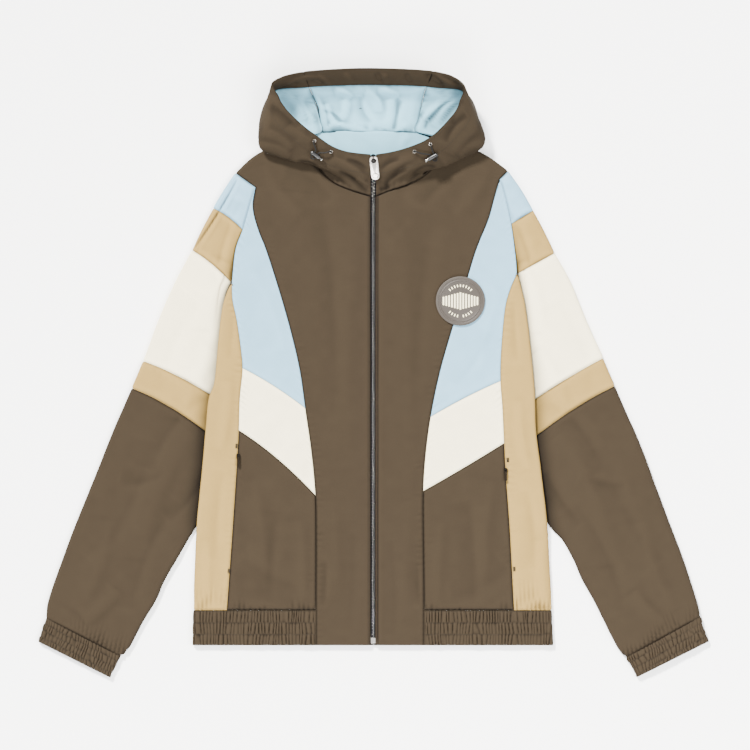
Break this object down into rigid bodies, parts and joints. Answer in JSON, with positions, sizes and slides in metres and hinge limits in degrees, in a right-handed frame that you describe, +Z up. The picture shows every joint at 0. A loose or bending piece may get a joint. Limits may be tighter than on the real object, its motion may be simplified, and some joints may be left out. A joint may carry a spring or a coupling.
{
  "type": "hooded windbreaker jacket",
  "caption": "Hooded colour-block windbreaker with a full-length front zip, elastic cuffs and hem band, and cord locks on the hood, laid flat on its back.",
  "frame": {"origin": "under the middle of the garment's box, on the table it lies on", "axes": "+X towards the wearer's left sleeve, the picture's right; +Y from the hem to the hood; +Z up from the table, towards the camera"},
  "size_m": [0.9372, 0.8518, 0.054],
  "materials": {
    "shell_brown": "matte woven",
    "shell_tan": "matte woven",
    "shell_cream": "matte woven",
    "shell_sky": "matte woven",
    "lining": "matte woven",
    "zip_tape": "matte",
    "zip_metal": "satin",
    "pull_metal": "satin",
    "lock_plastic": "gloss",
    "cord": "matte",
    "badge_rubber": "matte"
  },
  "bodies": {
    "garment": {"front_r": "shell_brown", "front_l": "shell_brown", "pocket_panel_r": "shell_brown", "pocket_panel_l": "shell_brown", "back": "shell_brown", "hem_band_r": "shell_brown", "hem_band_l": "shell_brown", "forearm_r": "shell_brown", "forearm_l": "shell_brown", "sleeve_back_r": "shell_brown", "sleeve_back_l": "shell_brown", "cuff_r": "shell_brown", "cuff_l": "shell_brown", "hood_side_r": "shell_brown", "hood_side_l": "shell_brown", "hood_crown": "shell_brown", "hood_facing": "shell_brown", "side_panel_r": "shell_tan", "side_panel_l": "shell_tan", "upper_tan_r": "shell_tan", "upper_tan_l": "shell_tan", "lower_tan_r": "shell_tan", "lower_tan_l": "shell_tan", "stripe_r": "shell_cream", "stripe_l": "shell_cream", "stripe_sleeve_r": "shell_cream", "stripe_sleeve_l": "shell_cream", "chest_r": "shell_sky", "chest_l": "shell_sky", "cap_r": "shell_sky", "cap_l": "shell_sky", "hood_lining_r": "lining", "hood_lining_l": "lining", "hood_lining_crown": "lining", "neck_facing": "lining", "zip_tape_r": "zip_tape", "zip_tape_l": "zip_tape", "zip_chain": "zip_metal", "zip_slider": "zip_metal", "pocket_r_slider": "zip_metal", "pocket_l_slider": "zip_metal", "zip_box": "pull_metal", "eyelet_far_r": "pull_metal", "eyelet_near_r": "pull_metal", "eyelet_far_l": "pull_metal", "eyelet_near_l": "pull_metal", "lock_r": "lock_plastic", "lock_l": "lock_plastic", "cord_r": "cord", "cord_l": "cord", "badge": "badge_rubber"},
    "zip_pull": {"zip_pull": "pull_metal"},
    "pocket_pull_r": {"pocket_r_pull": "pull_metal"},
    "pocket_pull_l": {"pocket_l_pull": "pull_metal"},
    "lock_button_r": {"lock_button_r": "pull_metal"},
    "lock_button_l": {"lock_button_l": "pull_metal"}
  },
  "joints": [
    {"name": "zip_pull_swing", "type": "hinge", "parent": "garment", "child": "zip_pull", "pos_m": [0, 0.30136, 0.03059], "axis": [-0.9945, -0.0991, -0.0334], "range_deg": [0, 150]},
    {"name": "pocket_pull_r_swing", "type": "hinge", "parent": "garment", "child": "pocket_pull_r", "pos_m": [-0.189, -0.1151, 0.01028], "axis": [-1, 0, 0], "range_deg": [0, 150]},
    {"name": "pocket_pull_l_swing", "type": "hinge", "parent": "garment", "child": "pocket_pull_l", "pos_m": [0.1855, -0.1351, 0.01026], "axis": [-1, 0, 0], "range_deg": [0, 150]},
    {"name": "lock_button_r_press", "type": "slide", "parent": "garment", "child": "lock_button_r", "axis": [-0.7991, 0.5842, 0.1422], "range_m": [0, 0.002], "stiffness_N_per_m": 400},
    {"name": "lock_button_l_press", "type": "slide", "parent": "garment", "child": "lock_button_l", "axis": [0.8607, 0.4883, 0.1439], "range_m": [0, 0.002], "stiffness_N_per_m": 400}
  ]
}
